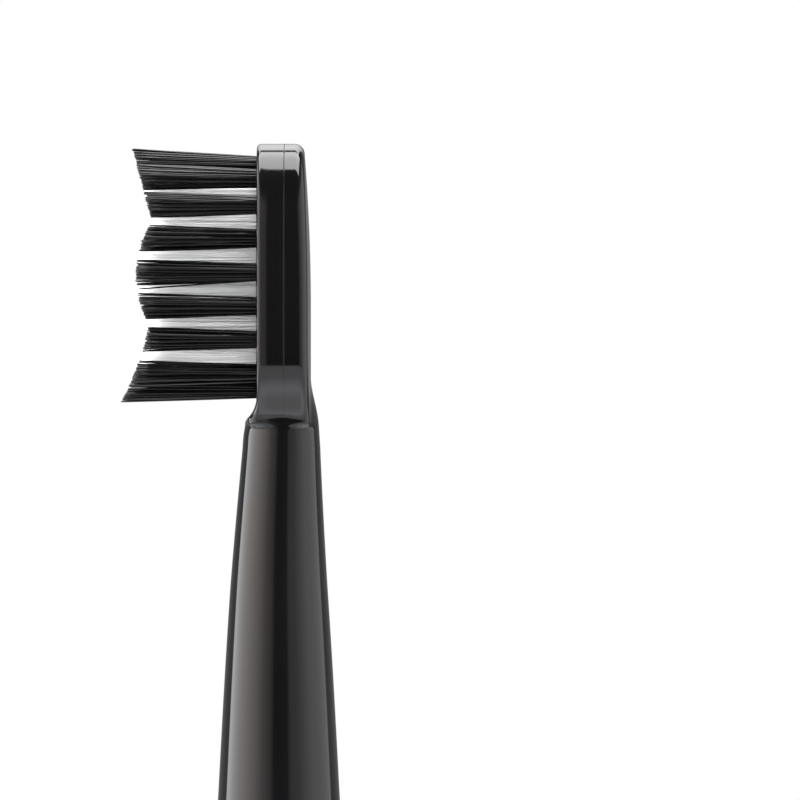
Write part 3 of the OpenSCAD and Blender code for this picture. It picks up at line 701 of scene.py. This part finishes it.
def make_tufts(node, inner):
    """The node's tufts as separate filaments, fanned out of their holes and cut to the trim."""
    verts, faces = [], []
    for x, z in feet_of(node):
        foot_s = HEAD_TOP - z
        spread = INNER_SPREAD if inner else OUTER_SPREAD
        lean_s = -LEAN * max(0, 1 - foot_s / LEAN_RUN)
        lean_x = SIDE_LEAN * math.copysign(min(1, abs(x) / 3), x) if abs(x) > 0.1 else 0.0
        for i in range(FILAMENTS):
            r = (HOLE_R - FILAMENT_R) * math.sqrt((i + 0.5) / FILAMENTS)
            a = i * GOLDEN + rng.uniform(-SPIN, SPIN)
            fx, fs = r * math.cos(a), r * math.sin(a)
            stray = rng.normal(0, SCATTER, 2)
            if rng.random() < STRAY_SHARE:
                stray = stray * STRAY_TIMES
            tip_x = x + fx * spread + lean_x + stray[0]
            tip_s = foot_s + fs * spread + lean_s + stray[1]
            long = trim_length(tip_s) + rng.normal(0, UNEVEN)
            root = np.array((x + fx, FACE_Y + ROOT_DEPTH, z - fs))
            tip = np.array((tip_x, FACE_Y - long, HEAD_TOP - tip_s))
            bow = np.array((rng.normal(0, BOW), 0.0, rng.normal(0, BOW)))
            add_filament(verts, faces, root, tip, bow)
    name = "_".join(word.capitalize() for word in node.split("_"))
    obj = object_from(name, verts, faces)
    finish_piece(obj, "brush_head", "bristles_light" if inner else "bristles_dark", [node], 60)


# -------- rest of the brush head


def make_base_ring():
    """Metal ring at the foot of the head, with softly broken edges and one fine groove."""
    r0, r1, bore, edge = ring_high[0], neck_r(NECK_END), 4.6, 0.22
    z0, z1 = ring_low[2], ring_high[2]

    def side(z):
        return r0 + (r1 - r0) * (z - z0) / (z1 - z0)

    groove_z, groove = z0 + 0.55, 0.1
    profile = [(bore + edge, z0), (r0 - edge, z0), *arc(r0 - edge, z0 + edge, edge, -80, 0, 4),
               (side(groove_z - groove), groove_z - groove),
               (side(groove_z) - groove, groove_z),
               (side(groove_z + groove), groove_z + groove),
               (side(z1 - 0.12), z1 - 0.12), (r1 - 0.1, z1), (bore, z1), (bore, z0 + edge)]
    ring = revolve("Base_Ring", profile)
    finish_piece(ring, "brush_head", "ring_metal", ["head_base_ring"], 25)


def make_nose_seal():
    """Rubber seal round the shaft, with a raised lip."""
    low, high = span("nose_seal")
    bore = SHAFT_R + 0.08
    flange_z, top = low[2] + 1.7, high[2]
    profile = [(bore, low[2] + 0.7), (SHAFT_R + 0.3, low[2]), (4.6, low[2]), (4.6, flange_z),
               (3.58, flange_z), (3.58, top - 0.3), *arc(3.38, top - 0.2, 0.2, 0, 90, 4),
               (2.95, top - 0.1), (2.75, top - 0.25), (2.5, top - 0.1),
               *arc(bore + 0.2, top - 0.2, 0.2, 90, 180, 4)]
    seal = revolve("Nose_Seal", profile, 96)
    finish_piece(seal, "handle", "rubber_black", ["nose_seal"], 40)


# -------- handle

BODY_R = housing_high[0]
NOSE_R = ring_high[0]
NOSE_Z = housing_high[2]
BUTTON_Z = middle_z("power_button")
TAPER_Z = BUTTON_Z + 11  # where the handle begins to narrow
BUTTON_R, BEZEL_R = 5.25, 6.2
LENS_Z = middle_z("indicator_lens")
LENS_HALF_W, LENS_HALF_LEN = 1.2, 12.0


def handle_r(z):
    """Radius of the handle's outside: straight, then a curve that ends at the neck's slope."""
    length = NOSE_Z - TAPER_Z
    t = max(0.0, z - TAPER_Z) / length
    return (BODY_R * (1 - smooth(t)) + NOSE_R * smooth(t)
            - NECK_SLOPE * length * (t ** 3 - t * t))


def on_handle(x, z, out):
    """Point on the front of the handle's straight part, out millimetres above its surface."""
    r = BODY_R + out
    return x, -math.sqrt(r * r - x * x), z


def rings_on_handle(rings, count):
    """Points of circles about the button's middle, each a radius and a height on the handle."""
    return [on_handle(r * c, BUTTON_Z + r * d, out) for r, out in rings for c, d in circle(count)]


def stadium(half_w, half_len, count):
    """Points of an upright outline with round ends, as (x, z) round its middle."""
    points = []
    for i in range(count):
        a = 2 * math.pi * (i + 0.5) / count
        end = math.copysign(half_len - half_w, math.sin(a))
        points.append((half_w * math.cos(a), end + half_w * math.sin(a)))
    return points


def make_housing():
    """Tapered housing with its button hole and window slot."""
    low_z, soft = housing_low[2], 0.25
    straight = list(np.arange(low_z + 2.0, TAPER_Z, 1.5))
    taper = list(np.linspace(TAPER_Z, NOSE_Z - 0.6, 48))
    bore_r, step_z = 3.6, NOSE_Z - 3.5
    inside = list(np.linspace(step_z, TAPER_Z, 24))
    profile = [(BODY_R - soft - 0.12, low_z), *arc(BODY_R - soft, low_z + soft, soft, -70, 0, 4)]
    profile += [(handle_r(z), z) for z in straight + taper]
    nose = handle_r(NOSE_Z)
    profile += arc(nose - 0.5, NOSE_Z - 0.5, 0.5, 5, 90, 6)
    profile += [(bore_r + 0.2, NOSE_Z), (bore_r, NOSE_Z - 0.2), (bore_r, step_z)]
    profile += [(handle_r(z) - WALL, z) for z in inside]
    profile += [(BODY_R - WALL, low_z)]
    housing = revolve("Handle_Housing", profile, 256)
    drill(housing, (0, 0, BUTTON_Z), (0, -1, 0), (BEZEL_R, BEZEL_R), (5, 20), 128)
    verts = []
    outline = stadium(LENS_HALF_W + 0.05, LENS_HALF_LEN + 0.05, 64)
    for y in (-5, -20):
        verts += [(x, y, LENS_Z + z) for x, z in outline]
    faces = ring_faces(2, 64) + [tuple(range(64)), tuple(range(127, 63, -1))]
    cut(housing, verts, faces)
    finish_piece(housing, "handle", "handle_black", ["handle_housing"])


def make_button_bezel():
    """Narrow trim ring round the button, which follows the curve of the housing."""
    inner_r, count = BUTTON_R + 0.25, 128
    outer_r = BEZEL_R - 0.02
    steps = [(outer_r, -1.0), (outer_r, -0.12), (outer_r - 0.04, -0.03), (outer_r - 0.12, 0.02),
             (outer_r - 0.3, 0.05), (inner_r + 0.25, 0.02), (inner_r + 0.1, -0.06),
             (inner_r, -0.2), (inner_r, -1.0)]
    faces = ring_faces(len(steps), count)
    faces += [(i, (len(steps) - 1) * count + i, (len(steps) - 1) * count + (i + 1) % count,
               (i + 1) % count) for i in range(count)]
    bezel = clean(object_from("Button_Bezel", rings_on_handle(steps, count), faces))
    finish_piece(bezel, "handle", "ring_metal", (), 50)


def make_button():
    """Spun metal cap, dished for the thumb, that follows the handle's curve at its rim."""
    count, proud = 128, BUTTON_TRAVEL + 0.05
    rings = [(BUTTON_R, -2.0), (BUTTON_R, proud - 0.45)]
    rings += [(BUTTON_R - 0.4 + 0.4 * math.cos(a), proud - 0.4 + 0.4 * math.sin(a))
              for a in np.radians([10, 30, 50, 70, 90])]
    dish = [(BUTTON_R - 0.4) * k for k in (0.94, 0.86, 0.76, 0.64, 0.5, 0.36, 0.22, 0.1, 0.0)]
    rings += [(r, proud - 0.5 * (1 - (r / (BUTTON_R - 0.4)) ** 2) ** 2) for r in dish]
    faces = ring_faces(len(rings), count) + [tuple(range(count))[::-1]]
    button = clean(object_from("Power_Button", rings_on_handle(rings, count), faces))
    finish_piece(button, "button", "button_metal", ["power_button"], 35)


def make_lens():
    """Smoked light bar, flush with the housing, with a rounded edge all round."""
    count = 96
    rings = [(0.0, -2.6), (0.0, -0.14), (0.03, -0.05), (0.1, -0.01), (0.22, 0.02)]
    rings += [(LENS_HALF_W * k, 0.02) for k in (0.4, 0.6, 0.8, 0.93)]
    verts = []
    for inset, out in rings:
        for x, z in stadium(LENS_HALF_W - inset - 0.01, LENS_HALF_LEN - inset - 0.01, count):
            verts.append(on_handle(x, LENS_Z + z, out))
    last = len(rings) * count
    faces = ring_faces(len(rings), count)
    faces += [tuple(range(count))[::-1], tuple(range(last - count, last))]
    lens = clean(object_from("Indicator_Lens", verts, faces))
    finish_piece(lens, "handle", "lens_smoke", ["indicator_lens"], 40)


def make_bottom_cap():
    """Cap under the handle, with its rounded foot edge, parting groove and charging well."""
    z0, z1, rim = cap_low[2], housing_low[2], 0.25
    foot_edge, well_wall = 1.6, 1.2
    well_top, floor_z, sleeve_z = cap_high[2] - well_wall, z0 + 2.4, z1 + 6.4
    sleeve_r, sleeve_inner_r = BODY_R - WALL - 0.1, BODY_R - WALL - 1.9
    profile = [(0, well_top), (WELL_R - 0.8, well_top)]
    profile += arc(WELL_R - 0.8, well_top - 0.8, 0.8, 80, 0, 5)
    profile += [(WELL_R, z0 + 0.6), *arc(WELL_R + 0.6, z0 + 0.6, 0.6, 170, 270, 5)]
    profile += [(9.2, z0), (9.35, z0 + 0.15), (9.65, z0 + 0.15), (9.8, z0)]
    profile += arc(BODY_R - foot_edge, z0 + foot_edge, foot_edge, -88, 0, 10)
    profile += [(BODY_R, z1 - rim - 0.02), *arc(BODY_R - rim, z1 - rim - 0.02, rim, 20, 70, 3)]
    profile += [(BODY_R - rim - 0.1, z1 - 0.02), (sleeve_r, z1 - 0.02), (sleeve_r, sleeve_z),
                (sleeve_inner_r, sleeve_z), (sleeve_inner_r, floor_z),
                (WELL_R + well_wall, floor_z), (WELL_R + well_wall, cap_high[2]), (0, cap_high[2])]
    cap = revolve("Bottom_Cap", profile)
    finish_piece(cap, "handle", "cap_black", ["bottom_cap"])


# -------- charger

CHARGER_R = shell_high[0]
SHELL_FOOT_Z = shell_low[2]


def make_charger_shell():
    """Puck with a rounded shoulder, a dished seat and the charging post."""
    top_edge, seat_r = 5.0, BODY_R + 0.5
    post_top = shell_high[2]
    tip, foot_fillet = 1.2, 0.8
    inner_r, ceiling, under_seat = CHARGER_R - 2.0, CHARGER_TOP - 3.5, SEAT_Z - 2
    bore_top, coil_room_r = post_top - 1.2, 15.9
    profile = [(0, post_top), (POST_R - tip - 0.3, post_top)]
    profile += arc(POST_R - tip, post_top - tip, tip, 75, 0, 8)
    profile += [(POST_R, SEAT_Z + foot_fillet)]
    profile += arc(POST_R + foot_fillet, SEAT_Z + foot_fillet, foot_fillet, 190, 270, 5)
    profile += [(9.5, SEAT_Z), (9.6, SEAT_Z - 0.12), (9.9, SEAT_Z - 0.12), (10.0, SEAT_Z)]
    profile += [(seat_r - 0.5, SEAT_Z), *arc(seat_r - 0.5, SEAT_Z + 0.5, 0.5, -75, 0, 4)]
    profile += arc(seat_r + 0.6, CHARGER_TOP - 0.6, 0.6, 180, 95, 5)
    profile += [(seat_r + 2.0, CHARGER_TOP), (CHARGER_R - top_edge - 0.6, CHARGER_TOP)]
    profile += arc(CHARGER_R - top_edge, CHARGER_TOP - top_edge, top_edge, 88, 0, 16)
    profile += [(CHARGER_R, SHELL_FOOT_Z + 3.0), (CHARGER_R - 0.18, SHELL_FOOT_Z + 2.8),
                (CHARGER_R - 0.18, SHELL_FOOT_Z + 2.5), (CHARGER_R, SHELL_FOOT_Z + 2.3)]
    profile += arc(CHARGER_R - 0.6, SHELL_FOOT_Z + 0.6, 0.6, 0, -85, 5)
    profile += [(inner_r + 0.2, SHELL_FOOT_Z), (inner_r, SHELL_FOOT_Z + 0.2), (inner_r, ceiling),
                (coil_room_r, ceiling), (coil_room_r, under_seat), (FERRITE_HOLE_R, under_seat),
                (FERRITE_HOLE_R, bore_top), (0, bore_top)]
    shell = revolve("Charger_Shell", profile, 256)
    inlet_low, inlet_high = span("usb_inlet")
    middle = (inlet_low + inlet_high) / 2
    half_w, half_h = (inlet_high[0] - inlet_low[0]) / 2, (inlet_high[2] - inlet_low[2]) / 2
    verts = []
    for y, grow in ((CHARGER_R - 6, 0.25), (CHARGER_R - 0.35, 0.25), (CHARGER_R + 0.6, 0.9)):
        verts += [(z, y, middle[2] + x) for x, z in stadium(half_h + grow, half_w + grow, 64)]
    faces = ring_faces(3, 64) + [tuple(range(64)), tuple(range(191, 127, -1))]
    cut(shell, verts, faces)
    drill(shell, (0, 0, middle_z("charger_light_pipe")), (0, -1, 0), (1.05, 1.05, 1.4),
          (CHARGER_R - 6, CHARGER_R - 0.15, CHARGER_R + 0.2), 48)
    finish_piece(shell, "charger", "charger_black", ["charger_shell"])


def make_light_pipe():
    """Domed end of the charger's light pipe."""
    low, high = span("charger_light_pipe")
    r, z = (high[0] - low[0]) / 2, (low[2] + high[2]) / 2
    verts, faces = [], []
    dome, dome_foot = np.radians([15, 35, 55, 75]), -low[1] - 0.4
    radii = [r, r] + [r * math.cos(a) for a in dome]
    heights = [-high[1], dome_foot] + [dome_foot + 0.38 * math.sin(a) for a in dome]
    cylinder_mesh(verts, faces, (0, 0, z), (0, -1, 0), radii, heights, 48)
    pipe = clean(object_from("Light_Pipe", verts, faces))
    finish_piece(pipe, "charger", "lens_smoke", ["charger_light_pipe"], 40)


def make_base_plate():
    """Underside plate with its screw recesses, foot recesses and a shallow ring groove."""
    low, high = span("charger_base_plate")
    r = high[0]
    edge = 0.3
    profile = [(0, high[2]), (r, high[2]), (r, low[2] + edge),
               *arc(r - edge, low[2] + edge, edge, -10, -85, 4), (15.2, low[2]),
               (15.0, low[2] + 0.25), (14.4, low[2] + 0.25), (14.2, low[2]), (0, low[2])]
    plate = revolve("Base_Plate", profile)
    verts, faces = [], []
    for turn in (45, 135, 225, 315):
        cylinder_mesh(verts, faces, (*placed(turn, BOSS_AT), low[2]), (0, 0, 1),
                      (2.8, 2.5, 2.5, 1.4, 1.4), (-0.2, 0.15, 1.4, 1.41, 5), 48)
    for turn in (0, 90, 180, 270):
        cylinder_mesh(verts, faces, (*placed(turn, FOOT_AT), low[2]), (0, 0, 1),
                      (4.75, 4.55, 4.55), (-0.2, 0.1, 1.0), 64)
    cut(plate, verts, faces)
    finish_piece(plate, "charger", "charger_black", ["charger_base_plate"])


def make_feet():
    """Four round rubber pads with a soft edge and moulded rings on the tread."""
    low, high = span("rubber_feet")
    r = high[0] - FOOT_AT
    verts, faces = [], []
    radii = [r - inset for inset in (0, 0, 0.12, 0.45, 0.9, 1.0, 1.3, 1.4, 2.1, 2.2, 2.5, 2.6)]
    heights = [high[2], 0.4, 0.14, 0.0, 0.0, 0.15, 0.15, 0.0, 0.0, 0.15, 0.15, 0.0]
    for turn in (0, 90, 180, 270):
        cylinder_mesh(verts, faces, (*placed(turn, FOOT_AT), 0), (0, 0, 1), radii, heights, 64)
    feet = clean(object_from("Rubber_Feet", verts, faces))
    finish_piece(feet, "charger", "rubber_black", ["rubber_feet"], 40)


def finish_cad_nodes():
    """Every CAD node gets its slot's material, because some still show."""
    for part in frame["record"]["subparts"]:
        mesh = frame["nodes"][part["node"]].data
        mesh.materials.clear()
        mesh.materials.append(materials[part["material_slot"]])


# -------- lights and floor

BAND_SCALE = 8.0  # level that a colour of 1 stands for in the bands
PLAIN_LEVEL, WHITE_LEVEL = 4.9, 1.0  # light on matt surfaces, and the white behind the object
SWEEP_X, SWEEP_Z, SWEEP_HALF_W = -0.05, 0.15, 0.45  # edges of the sweep, as directions
SOFTBOX_LEVEL = 8.5  # its power over pi and its area
FLOOR_R, FLOOR_END = 530.0, 3000.0  # radii of the disc and of the ring round it


def make_world():
    """White behind the object, bands of light for its reflections and plain light on the rest."""
    world = bpy.data.worlds.new("Studio")
    bpy.context.scene.world = world
    world.use_nodes = True
    tree = world.node_tree
    tree.nodes.clear()
    new, connect = tree.nodes.new, tree.links.new
    coords = new("ShaderNodeTexCoord")
    parts = new("ShaderNodeSeparateXYZ")
    connect(coords.outputs["Generated"], parts.inputs["Vector"])

    def math_node(operation, first, second=None):
        node = new("ShaderNodeMath")
        node.operation = operation
        for socket, value in zip(node.inputs, (first, second)):
            if isinstance(value, (int, float)):
                socket.default_value = value
            elif value is not None:
                connect(value, socket)
        return node.outputs["Value"]

    # angle round Z from +X, 0 to 1 for 180 degrees
    turn = math_node("DIVIDE", math_node("ARCTAN2", math_node("ABSOLUTE", parts.outputs["Y"]),
                                         parts.outputs["X"]), math.pi)

    warm, plain = (1, 0.92, 0.88), (1, 1, 1)

    def band(stops, factor, length=1.0):
        """Light levels at places along factor, each with a tint where it isn't plain."""
        ramp = new("ShaderNodeValToRGB")
        elements = ramp.color_ramp.elements
        while len(elements) > 1:
            elements.remove(elements[-1])
        for i, (place, level, *tint) in enumerate(stops):
            at = place / length
            element = elements[0] if i == 0 else elements.new(at)
            element.position = at
            element.color = tuple(level / BAND_SCALE * t for t in (tint or [plain])[0]) + (1,)
        connect(factor, ramp.inputs["Fac"])
        return ramp.outputs["Color"]

    def pick(factor, low, high):
        node = new("ShaderNodeMix")
        node.data_type = "RGBA"
        connect(factor, node.inputs["Factor"])
        connect(low, node.inputs["A"])
        connect(high, node.inputs["B"])
        return node.outputs["Result"]

    left = band([(0, 0.03), (10, 0.08), (14, 0.36, warm), (20, 0.6, warm), (32, 0.95, warm),
                 (42, 1.55, warm), (52, 2.1, warm), (72, 3.1, warm), (110, 4.4), (119, 4.4),
                 (121, 0.25), (180, 0.25)], turn, 180)
    right = band([(0, 0.05), (18, 0.07), (25, 0.5), (40, 0.62), (72, 1.45), (119, 1.45),
                  (121, 0.25), (180, 0.25)], turn, 180)
    sides = pick(math_node("GREATER_THAN", parts.outputs["Y"], 0.0), left, right)
    # on the far side, above the horizon and near the middle, there is a bright sweep
    sweep = band([(0, 0.25), (0.2, 0.3), (0.32, 1.2), (0.6, 3.05), (0.885, 6.5), (0.895, 0.5)],
                 parts.outputs["Z"])
    far = math_node("LESS_THAN", parts.outputs["X"], SWEEP_X)
    high = math_node("GREATER_THAN", parts.outputs["Z"], SWEEP_Z)
    narrow = math_node("LESS_THAN", math_node("ABSOLUTE", parts.outputs["Y"]), SWEEP_HALF_W)
    on_sweep = math_node("MULTIPLY", math_node("MULTIPLY", far, high), narrow)
    # the bands at the sides fall to a tenth further up
    dim = band([(0, BAND_SCALE), (0.5, BAND_SCALE), (0.62, 0.1 * BAND_SCALE)], parts.outputs["Z"])
    shaded = new("ShaderNodeMix")
    shaded.data_type, shaded.blend_type = "RGBA", "MULTIPLY"
    set_inputs(shaded, {"Factor": 1.0})
    connect(sides, shaded.inputs["A"])
    connect(dim, shaded.inputs["B"])
    bands = new("ShaderNodeBackground")
    set_inputs(bands, {"Strength": BAND_SCALE})
    connect(pick(on_sweep, shaded.outputs["Result"], sweep), bands.inputs["Color"])
    plain_light, white = new("ShaderNodeBackground"), new("ShaderNodeBackground")
    for shader, level in ((plain_light, PLAIN_LEVEL), (white, WHITE_LEVEL)):
        set_inputs(shader, {"Color": (1, 1, 1, 1), "Strength": level})
    path = new("ShaderNodeLightPath")
    gloss, seen = new("ShaderNodeMixShader"), new("ShaderNodeMixShader")
    output = new("ShaderNodeOutputWorld")
    connect(path.outputs["Is Glossy Ray"], gloss.inputs["Fac"])
    connect(plain_light.outputs["Background"], gloss.inputs[1])
    connect(bands.outputs["Background"], gloss.inputs[2])
    connect(path.outputs["Is Camera Ray"], seen.inputs["Fac"])
    connect(gloss.outputs["Shader"], seen.inputs[1])
    connect(white.outputs["Background"], seen.inputs[2])
    connect(seen.outputs["Shader"], output.inputs["Surface"])


def make_lights():
    """One wide softbox above the head."""
    data = bpy.data.lights.new("Softbox", "AREA")
    data.shape = "RECTANGLE"
    data.size, data.size_y = 0.40, 0.80
    data.energy = SOFTBOX_LEVEL * math.pi * data.size * data.size_y
    softbox = link(bpy.data.objects.new("Softbox", data))
    softbox.location = (0.035, 0, HEAD_TOP * MM + 0.5)
    data.diffuse_factor = 0.3
    softbox.visible_camera = False


def make_floor():
    """A round floor whose colour holds a paler ring, painted light that the glossy head reflects,
    and round it one that lights nothing.

    The nearness of the middle is 1 there and falls to 0 at one metre."""
    material, tree, shader = new_material("floor")
    set_inputs(shader, {"Roughness": 0.8})
    coords, nearness = tree.nodes.new("ShaderNodeTexCoord"), tree.nodes.new("ShaderNodeTexGradient")
    nearness.gradient_type = "SPHERICAL"
    tree.links.new(coords.outputs["Object"], nearness.inputs["Vector"])
    shade = add_blend(tree, nearness.outputs["Fac"], (0.205, 0.207, 0.214),
                      (0.222, 0.224, 0.228), 0.74, 0.96)
    # the paler ring is painted light, put in the floor's colour for the glossy head to reflect as a
    # brighter band
    painted_light_ring = shade.node.color_ramp.elements.new(0.87)
    painted_light_ring.color = (0.365, 0.368, 0.385, 1)
    tree.links.new(shade, shader.inputs["Base Color"])
    add_bump(tree, shader, add_noise(tree, 400, 2), 0.05, 0.0001)
    steps = 96
    disc = object_from("Floor", [(x * FLOOR_R, y * FLOOR_R, 0) for x, y in circle(steps)],
                       [tuple(range(steps))])
    around = object_from("Floor_Around", [(x * r, y * r, 0) for r in (FLOOR_R, FLOOR_END)
                                          for x, y in circle(steps)], ring_faces(2, steps))
    for obj in (disc, around):
        obj.data.materials.append(material)
    around.visible_glossy = False
    around.visible_diffuse = False


# -------- the scene

make_camera()
materials = make_materials()
make_world()
make_lights()
make_floor()
bpy.context.scene.view_settings.view_transform = "Standard"

make_bristle_plate()
make_head_back()
for tuft_node, is_inner in tuft_nodes():
    make_tufts(tuft_node, is_inner)

make_base_ring()
make_nose_seal()
make_housing()
make_button_bezel()
make_button()
make_lens()
make_bottom_cap()
make_charger_shell()
make_light_pipe()
make_base_plate()
make_feet()
finish_cad_nodes()
